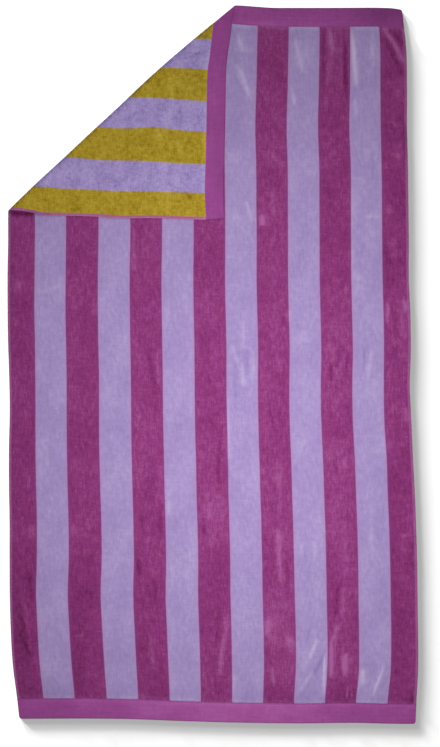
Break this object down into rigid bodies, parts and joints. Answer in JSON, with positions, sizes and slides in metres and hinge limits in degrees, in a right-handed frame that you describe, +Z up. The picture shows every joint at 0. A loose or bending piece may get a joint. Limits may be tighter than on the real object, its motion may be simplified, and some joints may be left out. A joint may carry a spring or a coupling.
{
  "type": "beach towel",
  "caption": "Striped terry beach towel lying flat, its top left corner turned over to show the back; flat-woven band at each end.",
  "frame": {"origin": "centre of the lying towel's box, on the surface that it lies on", "axes": "+Z up from the surface, +Y along the towel towards the end whose corner is turned over, +X to the right seen from above"},
  "size_m": [1.0276, 1.797, 0.012],
  "materials": {
    "terry": "cotton terry, sheared velour in magenta and lavender stripes on the front, uncut loops in mustard and lavender on the back"
  },
  "bodies": {
    "root": {"towel": "terry"}
  },
  "joints": []
}
